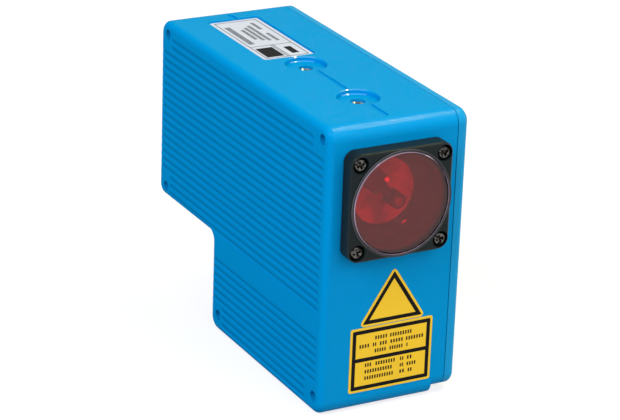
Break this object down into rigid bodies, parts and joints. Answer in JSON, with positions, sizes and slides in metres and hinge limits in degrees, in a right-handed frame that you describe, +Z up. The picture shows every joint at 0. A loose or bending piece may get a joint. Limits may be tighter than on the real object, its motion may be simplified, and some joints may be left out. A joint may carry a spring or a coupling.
{
  "type": "laser distance sensor",
  "caption": "Laser distance sensor in an L-shaped ribbed metal housing with a square window bezel and a round connector under the overhang.",
  "frame": {"origin": "middle of the bounding box, on the floor that the foot stands on", "axes": "+X to the right across the housing, towards the side cover; +Y from the window to the rear; +Z up"},
  "size_m": [0.054, 0.138, 0.105],
  "materials": {
    "blue_paint": "smooth satin blue paint on die-cast metal",
    "steel": "plain steel",
    "dark_steel": "dark passivated steel",
    "black_plastic": "fine matt black moulding",
    "black_rubber": "black rubber",
    "red_glass": "red filter glass",
    "clear_glass": "polished optical glass",
    "brass": "gold-plated metal",
    "nickel": "nickel plate",
    "board_green": "glass-fibre circuit board",
    "ribbon_grey": "grey flat ribbon",
    "wound_core": "taped winding on a ferrite core",
    "capacitor_sleeve": "dark shrink sleeve",
    "white_film": "white polyester film",
    "yellow_film": "yellow polyester film"
  },
  "bodies": {
    "root": {"housing": "blue_paint", "side_cover": "blue_paint", "thread_inserts": "steel", "cover_screws": "steel", "detector_screws": "steel", "board_screws": "steel", "detector_shield": "steel", "timing_shield": "steel", "bezel_screws": "dark_steel", "bezel": "black_plastic", "optics_block": "black_plastic", "emitter_arm": "black_plastic", "lens_ring": "black_plastic", "main_chips": "black_plastic", "board_headers": "black_plastic", "connector_insert": "black_plastic", "cover_gasket": "black_rubber", "bezel_gasket": "black_rubber", "window_seal": "black_rubber", "connector_seal": "black_rubber", "window_glass": "red_glass", "receiver_lens": "clear_glass", "collimator_lens": "clear_glass", "folding_prism": "clear_glass", "laser_diode": "brass", "photo_detector": "brass", "connector_pins": "brass", "connector_shell": "nickel", "connector_nut": "nickel", "detector_board": "board_green", "power_board": "board_green", "main_board": "board_green", "connector_board": "board_green", "detector_ribbon": "ribbon_grey", "power_ribbon": "ribbon_grey", "connector_ribbon": "ribbon_grey", "power_transformer": "wound_core", "filter_capacitors": "capacitor_sleeve", "type_label": "white_film", "triangle_film": "yellow_film", "frame_film": "yellow_film"}
  },
  "joints": []
}
